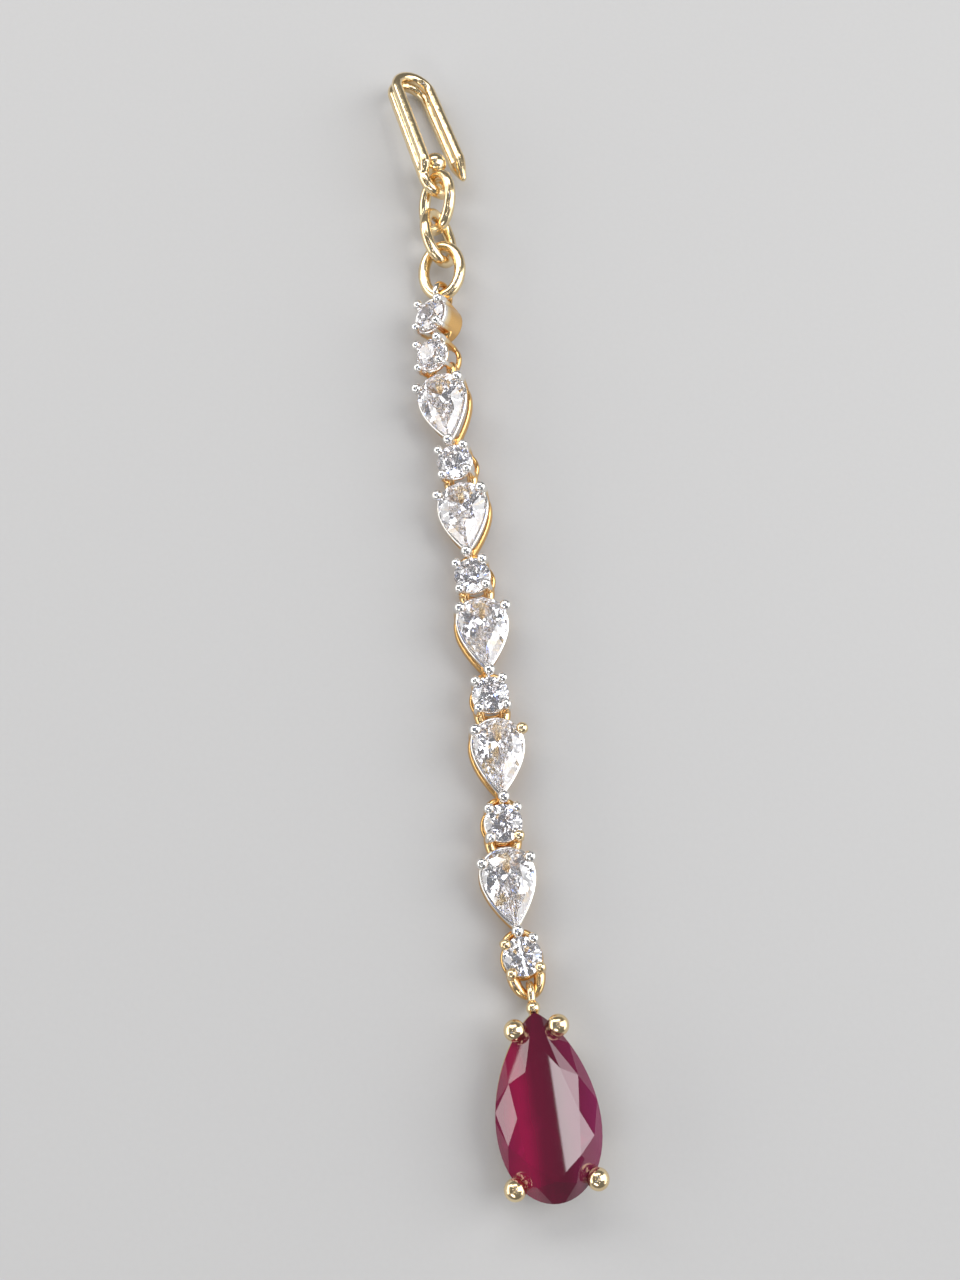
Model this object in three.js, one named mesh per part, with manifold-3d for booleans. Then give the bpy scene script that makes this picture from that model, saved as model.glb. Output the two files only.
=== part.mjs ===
// A maang tikka: a jewelled hair ornament of one row, lying on a table.
// Millimetres and degrees, +Z up. The row runs along Y, with the hair hook at +Y and the big drop at -Y.
import * as THREE from "three";
import { mergeVertices } from "three/addons/utils/BufferGeometryUtils.js";
import { ConvexGeometry } from "three/addons/geometries/ConvexGeometry.js";
import Module from "manifold-3d";

const wasm = await Module();
wasm.setup();

// Stones: a point of 0 is an oval or a circle, and a larger one draws one end out to a tip.
const roundStone = { width: 2.85, length: 2.85, point: 0, crown: 0.46, girdle: 0.12, pavilion: 1.2 };
const pearStone = { width: 3.9, length: 5.8, point: 1, crown: 0.6, girdle: 0.14, pavilion: 1.45 };
const dropStone = { width: 7.4, length: 12.7, point: 0.5, crown: 1.35, girdle: 0.3, pavilion: 2.0 };
const tableShare = { round: 0.56, pear: 0.54, drop: 0.6 }; // the table's width as a share of the stone's
const mainFacets = 8;
const starShare = 0.8; // where the star facets end, between the middle and the rim
const keelShare = 0.28; // where the pavilion's long facets split
const stoneGap = 0.1; // all round a stone, between it and its metal

// Baskets of the small stones
const girdleHeight = 2.45; // from the foot of a basket to the rim of its stone
const railWire = 0.42; // the upper and the lower rail of a basket
const upperRailDrop = 0.5; // from the stone's rim down to the upper rail's middle
const upperRailInset = 0;
const footRailInset = 0.02;
const prongWire = 0.42;
const roundProngBall = 0.74;
const pearProngBall = 0.78;
const prongBallRise = 0.46; // from the stone's rim up to the ball's middle
const prongStandOff = prongWire / 2 + stoneGap; // from the stone's rim out to the prong's middle
const roundProngAngle = 45;
const pearProngAngle = 131;
const pearTipStandOff = 0.57; // the tip's prong stands out further than the others
const pearTipLean = 0.8; // from the foot rail in to the foot of the tip's prong

// Loops that hold the stations together
const bowWire = 0.62; // the long flat bow under each round stone
const bowReach = 2.75; // from a round stone's middle to the middle of its bow's nose
const smallBowWire = 0.46;
const smallBowReach = 1.88;
const eyeWire = 0.46; // the upright eye that hangs on a long bow
const smallEyeWire = 0.42;
const loopPlay = 0.2; // between a bow and the eye that holds it
const pearEyeReach = 2.1; // from a pear stone's middle to its upper eye's middle
const pearTipEyeReach = 3.2;
const roundEyeReach = 1.76; // the second station's eye, hidden under its stone
const headEyeWire = 0.56; // the first station's eye, which holds the lowest link
const headEyeReach = 2.72;
const headEyePlay = 0.2;
const headWall = 0.34; // the solid wall of the first station's basket
const reliefGap = 0.15; // what is cleared round a neighbour's loop
const axisHeight = 0.97; // from a basket's foot to the line through its loops

// Drop
const dropGirdleHeight = 2.75;
const dropRailWire = 0.7;
const dropFootRailWire = 1.0;
const dropFootShare = 0.62; // the foot rail's outline as a share of the stone's
const dropFootCut = 0.3; // taken off the foot rail, to give it a flat back
const dropUpperRailInset = 0.35;
const dropUpperRailDrop = 0.7;
const dropProngWire = 0.85;
const dropProngBall = 1.35;
const dropBallRise = 0.5; // from the drop's rim up to the ball's middle
const dropBallStandOff = 0.3; // from the drop's rim out to the ball's middle
const dropProngStandOff = 0.55; // from the drop's rim out to the prong's knee, under its ball
const dropProngAngles = [37, 140];
const dropEyeWire = 0.6;
const dropEyeReach = 1.25; // from the drop's tip to its eye's middle
const dropBead = 1.05;
const dropBeadReach = 0.35; // from the drop's tip to the bead's middle
const dropBeadHeight = 1.0; // above the line through the loops

// Links and hook
const link = { width: 4.3, length: 5.8, wire: 1.0 };
const linkPlay = 0.44; // between two links along the row
const hookWire = 1.0;
const hookSpacing = 3.4; // between the middles of the two legs
const hookLeg = 10; // from the eye's middle to the middle of the bend
const hookTipDrop = 0.2; // how far the open leg reaches past the eye's middle
const hookTipFlare = 0.35;
const hookTipTaper = 2.2; // over how long the two strands run together
const hookTipRound = 0.6;
const hookStack = 0.94; // between the middles of the two strands that lie on each other
const hookEyePlay = 0.26;
const hookBall = 1.8;
const hookBallRise = 1.9; // from the eye's middle to the ball's middle
const hookBallGap = 0.1; // between the ball and the closed leg
const hookEyeTwist = 17; // the eye's plane, turned out of the hook's
const hookEndRise = 1.15; // where the upper strand ends, above the eye's middle

// Sides of the round wires and balls, and steps along them
const wireSides = 5;
const railSides = 4;
const roundRailSteps = 10;
const pearRailSteps = 13;
const eyeSteps = 10;
const bowSteps = 6;
const beadSides = 10;
const prongBallSides = 8;
const linkSteps = 14;
const linkSides = 6;
const hookSteps = 18;
const hookCurlSteps = 9;

// How each piece lies: heading turns its lower end towards +X, and roll leans its top towards -X.
const lie = {
  hook: { heading: 17, roll: -28 },
  link_1: { heading: -4, roll: 45 },
  link_2: { heading: 9, roll: -50 },
  link_3: { heading: 2, roll: 18 },
  stations: [
    { stone: "round", heading: -3, roll: 36, upper: "head", lower: "smallBow" },
    { stone: "round", heading: 5, roll: 34, upper: "hidden", lower: "bow" },
    { stone: "pear", heading: 11, roll: 17 },
    { stone: "round", heading: 9, roll: 14 },
    { stone: "pear", heading: 7, roll: 12 },
    { stone: "round", heading: 8, roll: 9 },
    { stone: "pear", heading: 6, roll: -7 },
    { stone: "round", heading: 8, roll: -2 },
    { stone: "pear", heading: 4, roll: -8 },
    { stone: "round", heading: 4, roll: -4 },
    { stone: "pear", heading: 9, roll: -2 },
    { stone: "round", heading: 13, roll: 0 },
  ],
  drop: { heading: 7, roll: 0 },
};
const linkTopHeight = 3.0; // the height of the uppermost link's joint with the hook

const gold = new THREE.Color(0xd8b070);
const paleGold = new THREE.Color(0xd9cdb4);
const clear = new THREE.Color(0xe4e7ee);
const crimson = new THREE.Color(0x8c0f3f);

const rad = THREE.MathUtils.degToRad;

// The closed outline of a stone, a rail, a link or an eye, in the XY plane with its tip at +Y.
class Outline extends THREE.Curve {
  constructor(width, length, point = 0) {
    super();
    const s = (1 + point) / (2 + point);
    this.peak = 2 * Math.sqrt(s * (1 - s)) * s ** (point / 2);
    Object.assign(this, { halfWidth: width / 2, halfLength: length / 2, point });
  }
  at(angle) {
    const x = (Math.sin(angle) * Math.abs(Math.sin(angle / 2)) ** this.point) / this.peak;
    return new THREE.Vector3(this.halfWidth * x, this.halfLength * Math.cos(angle), 0);
  }
  getPoint(t, target = new THREE.Vector3()) {
    return target.copy(this.at(2 * Math.PI * t));
  }
  // The Y of the widest place, where a cut stone has its keel point.
  get widest() {
    return (-this.halfLength * this.point) / (2 + this.point);
  }
}

// Part of a circle in the XY plane, from one angle to another.
class Arc extends THREE.Curve {
  constructor(x, y, radius, from, to) {
    super();
    Object.assign(this, { x, y, radius, from, to });
  }
  getPoint(t, target = new THREE.Vector3()) {
    const angle = THREE.MathUtils.lerp(this.from, this.to, t);
    return target.set(this.x + this.radius * Math.cos(angle), this.y + this.radius * Math.sin(angle), 0);
  }
}

// An outline that leaves out what lies within an angle of its bottom.
class OpenRail extends THREE.Curve {
  constructor(outline, gap) {
    super();
    Object.assign(this, { outline, gap });
  }
  getPoint(t, target = new THREE.Vector3()) {
    const turn = 2 * (Math.PI - this.gap);
    return target.copy(this.outline.at(Math.PI + this.gap + turn * t));
  }
}

// Half an ellipse from one side of a basket round its nose to the other side.
class Bow extends THREE.Curve {
  constructor(halfWidth, start, reach) {
    super();
    Object.assign(this, { halfWidth, start, reach });
  }
  getPoint(t, target = new THREE.Vector3()) {
    const angle = Math.PI * t;
    const out = this.start + (this.reach - this.start) * Math.sin(angle);
    return target.set(this.halfWidth * Math.cos(angle), out, 0);
  }
}

// Solids and meshes
function solid(geometry) {
  const bare = new THREE.BufferGeometry().setAttribute("position", geometry.getAttribute("position"));
  if (geometry.index) bare.setIndex(geometry.index);
  const merged = mergeVertices(bare, 1e-4);
  return new wasm.Manifold(
    new wasm.Mesh({
      numProp: 3,
      vertProperties: merged.attributes.position.array,
      triVerts: new Uint32Array(merged.index.array),
    }),
  );
}

function geometryOf(made) {
  const mesh = made.getMesh();
  return new THREE.BufferGeometry()
    .setAttribute("position", new THREE.BufferAttribute(mesh.vertProperties, 3))
    .setIndex(new THREE.BufferAttribute(mesh.triVerts, 1));
}

function joined(solids) {
  return solids.reduce((whole, part) => whole.add(part));
}

function moved(made, matrix) {
  return solid(geometryOf(made).applyMatrix4(matrix));
}

function placedMesh(name, made, color, metalness, roughness) {
  const geometry = geometryOf(made);
  geometry.computeVertexNormals();
  const material = new THREE.MeshStandardMaterial({ color, metalness, roughness, flatShading: true });
  const mesh = new THREE.Mesh(geometry, material);
  mesh.name = name;
  return mesh;
}

const metalMesh = (name, made, color) => placedMesh(name, made, color, 1, 0.2);
const stoneMesh = (name, made, color) => placedMesh(name, made, color, 0, 0.03);

// Wires and balls
function closedWire(curve, wire, steps, sides = wireSides) {
  return new THREE.TubeGeometry(curve, steps, wire / 2, sides, true);
}

function openWire(curve, wire, steps, sides = wireSides) {
  const circle = new THREE.EllipseCurve(0, 0, wire / 2, wire / 2);
  const section = new THREE.Shape(circle.getPoints(sides).slice(1));
  return new THREE.ExtrudeGeometry(section, { steps, bevelEnabled: false, extrudePath: curve });
}

function bead(diameter, x, y, z, sides = beadSides) {
  const sphere = new THREE.SphereGeometry(diameter / 2, sides, Math.ceil(sides / 2));
  return solid(sphere.rotateX(Math.PI / 2).translate(x, y, z));
}

// An upright ring whose middle lies at y on the line through the loops.
function eye(wire, hole, y, grow = 0) {
  const size = 2 * hole + wire;
  const ring = closedWire(new Outline(size, size), wire + 2 * grow, eyeSteps);
  return solid(ring.rotateY(Math.PI / 2).translate(0, y, 0));
}

// A cut stone: table, star, rim and pavilion points, closed by their hull.
function cutStone(stone, tableWidth) {
  const outline = new Outline(stone.width, stone.length, stone.point);
  const middle = new THREE.Vector3(0, outline.widest, 0);
  const { crown, pavilion } = stone;
  const half = stone.girdle / 2;
  const step = Math.PI / mainFacets;
  const lean = Math.cos(step);
  const starHeight = (crown * (1 - starShare * lean)) / (1 - tableWidth);
  const keelDepth = pavilion * (1 - keelShare * lean);
  const points = [new THREE.Vector3(0, middle.y, -half - pavilion)];
  const add = (angle, share, z) => points.push(middle.clone().lerp(outline.at(angle), share).setZ(z));
  for (let k = 0; k < mainFacets; k++) {
    const onMain = 2 * k * step;
    const between = onMain + step;
    add(onMain, tableWidth, half + crown);
    add(between, starShare, half + starHeight);
    add(between, keelShare, -half - keelDepth);
    for (const angle of [onMain, between]) {
      add(angle, 1, half);
      add(angle, 1, -half);
    }
  }
  return solid(new ConvexGeometry(points));
}

// The room for a stone in its metal: a plain cone under the rim and another over it.
function seatRoom(stone, tableWidth) {
  const outline = new Outline(stone.width + 2 * stoneGap, stone.length + 2 * stoneGap, stone.point);
  const middle = new THREE.Vector3(0, outline.widest, 0);
  const half = stone.girdle / 2 + stoneGap;
  const points = [new THREE.Vector3(0, middle.y, -half - stone.pavilion - stoneGap)];
  for (let k = 0; k < 2 * mainFacets; k++) {
    const rim = outline.at((k * Math.PI) / mainFacets);
    points.push(rim.clone().setZ(half), rim.clone().setZ(-half));
    points.push(middle.clone().lerp(rim, tableWidth).setZ(half + stone.crown + stoneGap));
  }
  return solid(new ConvexGeometry(points));
}

// A prong: a straight post from the foot rail up past the stone's rim, turned with a ball on its end.
function prong(foot, top, wire, ballDiameter) {
  const height = foot.distanceTo(top);
  const radius = ballDiameter / 2;
  const corner = radius * Math.SQRT1_2;
  const profile = [
    [0, 0],
    [wire / 2, 0],
    [wire / 2, height - radius],
    [radius, height],
    [corner, height + corner],
    [0, height + radius],
  ].map(([x, y]) => new THREE.Vector2(x, y));
  const turned = new THREE.LatheGeometry(profile, wireSides);
  const upright = new THREE.Vector3(0, 1, 0);
  const lean = new THREE.Quaternion().setFromUnitVectors(upright, top.clone().sub(foot).normalize());
  return solid(turned.applyQuaternion(lean).translate(foot.x, foot.y, foot.z));
}

function rail(outline, wire, steps, z) {
  return solid(closedWire(outline, wire, steps, railSides).translate(0, 0, z));
}

// The basket of a small stone, in a frame whose XY plane holds its loops. Its stone's tip points to -Y.
const rimHeight = girdleHeight - axisHeight;
const footHeight = railWire / 2 - axisHeight;

function basket(stone, angles, ballDiameter, steps, open) {
  const inset = (by) => new Outline(stone.width - 2 * by, stone.length - 2 * by, stone.point);
  const upperRail = rimHeight - upperRailDrop;
  const footLine = inset(footRailInset);
  const footWire = open
    ? openWire(new OpenRail(footLine, rad(roundProngAngle)), railWire, steps - 2, railSides)
    : closedWire(footLine, railWire, steps, railSides);
  const upperWire = rail(inset(upperRailInset), railWire, steps, upperRail);
  const pieces = [upperWire, solid(footWire.translate(0, 0, footHeight))];
  if (stone.point) {
    const foot = footLine.at(Math.PI).setZ(footHeight);
    const post = new THREE.LineCurve3(foot, inset(upperRailInset).at(Math.PI).setZ(upperRail));
    pieces.push(solid(openWire(post, railWire, 1)));
  }
  for (const angle of angles) {
    const atTip = stone.point && angle === 0;
    const foot = footLine.at(rad(angle)).setZ(footHeight);
    if (atTip) foot.y -= pearTipLean;
    const standOff = atTip ? pearTipStandOff : prongStandOff;
    const top = inset(-standOff).at(rad(angle)).setZ(rimHeight + prongBallRise);
    pieces.push(prong(foot, top, prongWire, ballDiameter));
  }
  return solid(geometryOf(joined(pieces)).rotateZ(Math.PI));
}

const roundAngles = [roundProngAngle, 180 - roundProngAngle, 180 + roundProngAngle, 360 - roundProngAngle];
const pearAngles = [0, pearProngAngle, 360 - pearProngAngle];
const closedBasket = basket(roundStone, roundAngles, roundProngBall, roundRailSteps, false);
const openBasket = basket(roundStone, roundAngles, roundProngBall, roundRailSteps, true);
const pearBasket = basket(pearStone, pearAngles, pearProngBall, pearRailSteps, false);

// The loops of a station, each with the place of its joint on the row's line.
const prongSide = (roundStone.width / 2) * Math.sin(rad(roundProngAngle));

function bow(wire, reach, side, grow = 0) {
  const curve = new Bow(prongSide, prongSide, reach);
  const made = openWire(curve, wire + 2 * grow, bowSteps);
  return solid(side > 0 ? made : made.rotateZ(Math.PI));
}

const holeFor = (wire) => wire / 2 + loopPlay;
const loops = {
  smallBow: { reach: smallBowReach, make: (side, grow) => bow(smallBowWire, smallBowReach, side, grow) },
  bow: { reach: bowReach, make: (side, grow) => bow(bowWire, bowReach, side, grow) },
  head: {
    reach: headEyeReach,
    closed: true,
    make: (side, grow) => eye(headEyeWire, link.wire / 2 + headEyePlay, side * headEyeReach, grow),
  },
  hidden: {
    reach: roundEyeReach,
    closed: true,
    make: (side, grow) => eye(smallEyeWire, holeFor(smallBowWire), side * roundEyeReach, grow),
  },
  pearTop: {
    reach: pearEyeReach,
    make: (side, grow) => eye(eyeWire, holeFor(bowWire), side * pearEyeReach, grow),
  },
  pearTip: {
    reach: pearTipEyeReach,
    make: (side, grow) => eye(smallEyeWire, holeFor(smallBowWire), side * pearTipEyeReach, grow),
  },
};
const usualLoops = {
  round: { upper: "smallBow", lower: "bow" },
  pear: { upper: "pearTop", lower: "pearTip" },
};

// How high the row's line must be over the table for a leaning basket to rest on its foot.
function restHeight(width, roll) {
  const half = width / 2 + railWire / 2;
  return axisHeight * Math.cos(rad(roll)) + half * Math.abs(Math.sin(rad(roll)));
}

// A group that lies on the row by one joint, with the row's line as its Y. A side of 1 is its upper end.
function lying(joint, side, reach, farReach, rise, { heading, roll }) {
  const group = new THREE.Group();
  const pitch = Math.asin(rise / (reach + farReach));
  group.rotation.set(pitch, rad(-roll), rad(heading), "ZXY");
  const up = new THREE.Vector3(0, 1, 0).applyEuler(group.rotation);
  group.position.copy(joint).addScaledVector(up, -side * reach);
  group.updateMatrixWorld(true);
  const far = group.position.clone().addScaledVector(up, -side * farReach);
  return { group, far };
}

// The solid in one group's frame, taken into another's.
function seenFrom(group, other, made) {
  return moved(made, group.matrixWorld.clone().invert().multiply(other.matrixWorld));
}

const row = new THREE.Group();

// Stations and the heights of the joints between them
const stones = {
  round: { size: roundStone, table: tableShare.round, basket: openBasket },
  pear: { size: pearStone, table: tableShare.pear, basket: pearBasket },
};
const stations = lie.stations.map((place) => ({
  ...place,
  ...stones[place.stone],
  upper: loops[place.upper ?? usualLoops[place.stone].upper],
  lower: loops[place.lower ?? usualLoops[place.stone].lower],
}));
const dropHole = holeFor(bowWire);
const dropAxisHeight = dropHole + dropEyeWire;
const rests = [...stations.map((s) => restHeight(s.size.width, s.roll)), dropAxisHeight];
const jointHeights = [rests[0], ...rests.slice(1).map((rest, i) => Math.max(rest, rests[i]))];

const headJoint = new THREE.Vector3(0, 0, jointHeights[0]);
let joint = headJoint;
stations.forEach((station, i) => {
  const rise = jointHeights[i] - jointHeights[i + 1];
  const placed = lying(joint, 1, station.upper.reach, station.lower.reach, rise, station);
  station.group = placed.group;
  joint = placed.far;
});

// A cylinder wall that closes the first basket from its foot to its upper rail.
function headCollet() {
  const outer = roundStone.width / 2 - upperRailInset + railWire / 2;
  const inner = outer - headWall;
  const top = rimHeight - upperRailDrop;
  const profile = [
    [inner, -axisHeight],
    [outer, -axisHeight],
    [outer, top],
    [inner, top],
    [inner, -axisHeight],
  ].map(([x, y]) => new THREE.Vector2(x, y));
  return solid(new THREE.LatheGeometry(profile, roundRailSteps).rotateX(Math.PI / 2));
}

const counts = { round: 0, pear: 0 };
stations.forEach((station, i) => {
  const { group, size, table, upper, lower, stone } = station;
  const above = stations[i - 1];
  const below = stations[i + 1];
  let metal = upper.closed ? closedBasket : station.basket;
  if (upper === loops.head) metal = metal.add(headCollet());
  if (above) metal = metal.subtract(seenFrom(group, above.group, above.lower.make(-1, reliefGap)));
  if (below) metal = metal.subtract(seenFrom(group, below.group, below.upper.make(1, reliefGap)));
  const seated = (made) => solid(geometryOf(made).rotateZ(Math.PI).translate(0, 0, rimHeight));
  const room = seated(seatRoom(size, table));
  metal = metal.add(upper.make(1, 0).subtract(room)).add(lower.make(-1, 0));
  const number = ++counts[stone];
  group.add(metalMesh(`${stone}_setting_${number}`, metal, paleGold));
  group.add(stoneMesh(`${stone}_stone_${number}`, seated(cutStone(size, table)), clear));
  row.add(group);
});

// Drop: its own frame has the row's line as Y and the stone's middle at Y 0, with the tip up the row.
function dropPieces() {
  const { width, length, point } = dropStone;
  const tip = length / 2;
  const rim = dropGirdleHeight - dropAxisHeight;
  const footZ = dropFootRailWire / 2 - dropFootCut - dropAxisHeight;
  const footRail = new Outline(width * dropFootShare, length * dropFootShare, point);
  const inset = 2 * dropUpperRailInset;
  const upperRail = new Outline(width - inset, length - inset, point);
  const pieces = [
    rail(footRail, dropFootRailWire, pearRailSteps, footZ),
    rail(upperRail, dropRailWire, pearRailSteps, rim - dropUpperRailDrop),
    eye(dropEyeWire, dropHole, tip + dropEyeReach),
    bead(dropBead, 0, tip + dropBeadReach, dropBeadHeight),
  ];
  const outside = (by) => new Outline(width + 2 * by, length + 2 * by, point);
  for (const angle of dropProngAngles.flatMap((a) => [rad(a), rad(360 - a)])) {
    const foot = footRail.at(angle).setZ(footZ);
    const knee = outside(dropProngStandOff).at(angle).setZ(rim);
    const ball = outside(dropBallStandOff).at(angle);
    pieces.push(prong(foot, knee, dropProngWire, dropProngWire));
    pieces.push(bead(dropProngBall, ball.x, ball.y, rim + dropBallRise, prongBallSides));
  }
  const under = new THREE.BoxGeometry(2 * width, 2 * length, dropAxisHeight);
  under.translate(0, 0, -1.5 * dropAxisHeight);
  const seated = (made) => solid(geometryOf(made).translate(0, 0, rim));
  const room = seated(seatRoom(dropStone, tableShare.drop));
  return {
    metal: joined(pieces).subtract(solid(under)).subtract(room),
    stone: seated(cutStone(dropStone, tableShare.drop)),
  };
}

const dropReach = dropStone.length / 2 + dropEyeReach;
const drop = lying(joint, 1, dropReach, dropStone.length / 2, 0, lie.drop).group;
const { metal: dropMetal, stone: dropGem } = dropPieces();
drop.add(metalMesh("drop_setting", dropMetal, gold), stoneMesh("drop_stone", dropGem, crimson));
row.add(drop);

// Links, from the lowest one up
const linkEnd = (link.length - link.wire) / 2;
const linkShare = linkEnd - (link.wire + linkPlay) / 2; // to the middle of a joint between two links
const linkHalf = (link.width - link.wire) / 2;
const linkRest = linkHalf * Math.sin(rad(Math.abs(lie.link_2.roll))) + link.wire / 2;
const linkBody = solid(closedWire(new Outline(2 * linkHalf, 2 * linkEnd), link.wire, linkSteps, linkSides));
const linkPlaces = [
  { name: "link_3", lower: linkEnd, upper: linkShare, height: linkRest },
  { name: "link_2", lower: linkShare, upper: linkShare, height: linkRest },
  { name: "link_1", lower: linkShare, upper: linkEnd, height: linkTopHeight },
];
joint = headJoint;
for (const { name, lower, upper, height } of linkPlaces) {
  const placed = lying(joint, -1, lower, upper, height - joint.z, lie[name]);
  placed.group.add(metalMesh(name, linkBody, gold));
  row.add(placed.group);
  joint = placed.far;
}

// Hook: its frame has the eye's middle at the origin and the two legs along Y.
const hookEyeRadius = link.wire / 2 + hookEyePlay + hookWire / 2;

// Two round strands side by side, joined where they touch.
function twinSection() {
  const radius = hookWire / 2;
  const waist = Math.acos(hookStack / hookWire);
  const half = (side) => {
    const start = side > 0 ? waist - Math.PI : waist;
    const end = start + 2 * (Math.PI - waist);
    const curve = new THREE.EllipseCurve((side * hookStack) / 2, 0, radius, radius, start, end);
    return curve.getPoints(linkSides).slice(0, -1);
  };
  return new THREE.Shape([...half(1), ...half(-1)]);
}

function hookPieces() {
  const bend = hookSpacing / 2;
  const middleX = bend - hookEyeRadius;
  const openX = middleX + bend;
  const ballX = hookWire / 2 + hookBallGap + hookBall / 2 - hookEyeRadius;
  const ballAngle = Math.atan2(hookBallRise, ballX);
  const leaving = ballAngle - Math.acos(hookEyeRadius / Math.hypot(ballX, hookBallRise));
  const level = hookStack / 2;
  const point = (x, y, z = 0) => new THREE.Vector3(x, y, z);
  const path = (...curves) => Object.assign(new THREE.CurvePath(), { curves });
  const strandEnd = (x, y, z) => bead(hookWire, x, y, z, linkSides);

  const openEnd = point(openX + hookTipFlare, hookTipTaper - hookTipDrop);
  const legs = path(
    new THREE.LineCurve3(point(-hookEyeRadius, hookEndRise), point(-hookEyeRadius, hookLeg)),
    new Arc(middleX, hookLeg, bend, Math.PI, 0),
    new THREE.LineCurve3(point(openX, hookLeg), openEnd),
  );
  const twin = new THREE.ExtrudeGeometry(twinSection(), {
    steps: hookSteps,
    bevelEnabled: false,
    extrudePath: legs,
  });
  const closedFoot = new THREE.LineCurve3(point(-hookEyeRadius, 0), point(-hookEyeRadius, 2 * hookEndRise));

  // The two strands run together into one rounded tip.
  const roundTip = (radius, y, z) =>
    new THREE.EllipseCurve(0, 0, radius, radius)
      .getPoints(linkSides)
      .map((p) => point(openEnd.x + p.x, y, z + p.y));
  const tip = new ConvexGeometry([
    ...roundTip(hookWire / 2, openEnd.y + hookWire / 4, level),
    ...roundTip(hookWire / 2, openEnd.y + hookWire / 4, -level),
    ...roundTip(hookTipRound / 2, hookTipRound / 2 - hookTipDrop, 0),
    point(openEnd.x, -hookTipDrop),
  ]);

  // The lower strand curls round into an eye and ends in the ball.
  const curl = new Arc(0, 0, hookEyeRadius, leaving, -Math.PI);
  const stem = new THREE.LineCurve3(point(ballX, hookBallRise), curl.getPoint(0));
  const eyeWireSolid = openWire(path(stem, curl), hookWire, hookCurlSteps, linkSides);
  const knob = new THREE.SphereGeometry(hookBall / 2, beadSides, beadSides / 2);
  const twisted = (geometry) =>
    solid(
      geometry
        .translate(hookEyeRadius, 0, 0)
        .rotateY(rad(hookEyeTwist))
        .translate(-hookEyeRadius, 0, -level),
    );
  return joined([
    solid(twin),
    solid(tip),
    solid(openWire(closedFoot, hookWire, 1, linkSides).translate(0, 0, -level)),
    strandEnd(-hookEyeRadius, 0, -level),
    strandEnd(-hookEyeRadius, hookEndRise, level),
    twisted(eyeWireSolid),
    twisted(knob.rotateX(Math.PI / 2).translate(ballX, hookBallRise, 0)),
  ]);
}

const hookReachX = hookSpacing - hookEyeRadius;
const hookLean = rad(Math.abs(lie.hook.roll));
const hookRest = hookReachX * Math.sin(hookLean) + (hookStack / 2) * Math.cos(hookLean) + hookWire / 2;
const hook = lying(joint, -1, 0, hookLeg, hookRest - joint.z, lie.hook).group;
hook.add(metalMesh("hook", hookPieces(), gold));
row.add(hook);

// The frame's origin is the middle of the model's box, on the table.
row.updateMatrixWorld(true);
const box = new THREE.Box3().setFromObject(row, true);
const middle = box.getCenter(new THREE.Vector3());
row.position.set(-middle.x, -middle.y, -box.min.z);

export default row;
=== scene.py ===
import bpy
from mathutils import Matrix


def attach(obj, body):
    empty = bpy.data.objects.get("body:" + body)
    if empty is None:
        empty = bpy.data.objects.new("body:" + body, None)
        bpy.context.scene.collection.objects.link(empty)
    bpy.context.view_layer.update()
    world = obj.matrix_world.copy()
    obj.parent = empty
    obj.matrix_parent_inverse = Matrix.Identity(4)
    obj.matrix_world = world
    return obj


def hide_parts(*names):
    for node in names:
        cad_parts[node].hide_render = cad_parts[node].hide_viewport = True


bl_info = {
    "name": "Maang Tikka",
    "version": (1, 0, 0),
    "blender": (4, 5, 0),
    "location": "3D View > Sidebar > Tikka",
    "description": "Dresses a jewelled hair ornament round its measured frame",
    "category": "Object",
}

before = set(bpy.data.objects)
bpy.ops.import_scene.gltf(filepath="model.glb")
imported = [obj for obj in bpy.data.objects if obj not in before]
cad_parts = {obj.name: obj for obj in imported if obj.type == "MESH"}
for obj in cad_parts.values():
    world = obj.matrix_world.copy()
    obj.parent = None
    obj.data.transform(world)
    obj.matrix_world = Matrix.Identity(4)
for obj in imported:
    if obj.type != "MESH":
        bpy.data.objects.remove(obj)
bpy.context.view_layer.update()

from collections import namedtuple
from math import acos, asin, atan2, cos, hypot, pi, radians, sin, sqrt

import bmesh
import bpy
from bpy.props import FloatProperty, FloatVectorProperty, IntProperty, PointerProperty
from mathutils import Matrix, Vector

MM = 0.001
UP = Vector((0, 0, 1))
ALONG = Vector((0, 1, 0))
ACROSS = Vector((1, 0, 0))

# Sizes in millimetres, the same as the frame's
Stone = namedtuple("Stone", "width length point crown girdle pavilion")
ROUND = Stone(2.85, 2.85, 0, 0.46, 0.12, 1.2)
PEAR = Stone(3.9, 5.8, 1, 0.6, 0.14, 1.45)
DROP = Stone(7.4, 12.7, 0.5, 1.35, 0.3, 2.0)

# Baskets of the small stones. A height is over the table, a rise or a drop is from the girdle's middle.
GIRDLE_HEIGHT = 2.45
AXIS_HEIGHT = 0.97
RAIL_WIRE = 0.42
UPPER_RAIL_DROP = 0.5
ROUND_RAIL_INSET = 0.16
FOOT_INSET = 0.02
FOOT_TALL = {"round": 1.4, "pear": 2.0}
OPEN_GAP = 45
CLAW_WIRE = 0.54
CLAW_SWELL = (1, 1, 1, 1.08, 1.15)
CLAW_STAND_OFF = 0.31
CLAW_SHOULDER = 0.97
CLAW_SHOULDER_RISE = 0.02
CLAW_ELBOW = 0.45
CLAW_ELBOW_OUT = 0.05
CLAW_BALL = {"round": 0.84, "pear": 0.94}
CLAW_BALL_STRETCH = (1, 1, 0.94)
CLAW_TIP_OUT = 0.07
CLAW_RISE = 0.49
ROUND_CLAWS = (45, 135, 225, 315)
PEAR_CLAWS = (0, 131, 229)
TIP_CLAW_OUT = 0.57
TIP_CLAW_LEAN = 0.8
TIP_CLAW_SHOULDER = 0.86
HEAD_WALL = 0.34
COLLAR_LIP_GAP = 0.08
COLLAR_LIP_DROP = 0.03
COLLAR_SEAT_DROP = 0.34

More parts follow.
